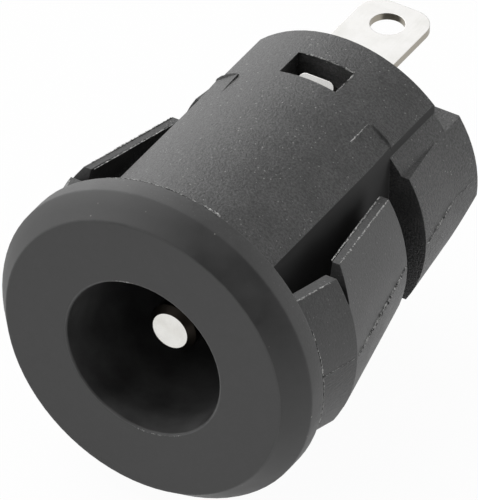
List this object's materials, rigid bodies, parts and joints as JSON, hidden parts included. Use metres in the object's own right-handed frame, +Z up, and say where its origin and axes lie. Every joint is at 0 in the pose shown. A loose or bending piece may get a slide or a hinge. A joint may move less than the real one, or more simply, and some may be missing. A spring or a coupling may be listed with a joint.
{
  "type": "panel-mount dc barrel jack",
  "caption": "Snap-in round panel socket for a dc barrel plug, with a centre pin, a sprung sleeve contact and solder tags.",
  "frame": {"origin": "centre of the flange's rear face, on the socket's axis, where the panel's front skin lies", "axes": "+Y back along the socket's axis towards the tags, +Z up towards the sleeve contact's tag, +X across the latch wings; the plug comes in from -Y"},
  "size_m": [0.0136, 0.019, 0.0134],
  "materials": {
    "housing_plastic": "satin moulded",
    "contact_plating": "bright nickel plate over brass"
  },
  "bodies": {
    "root": {"housing": "housing_plastic", "sleeve_contact": "contact_plating", "centre_pin": "contact_plating", "pin_tag": "contact_plating"}
  },
  "joints": []
}
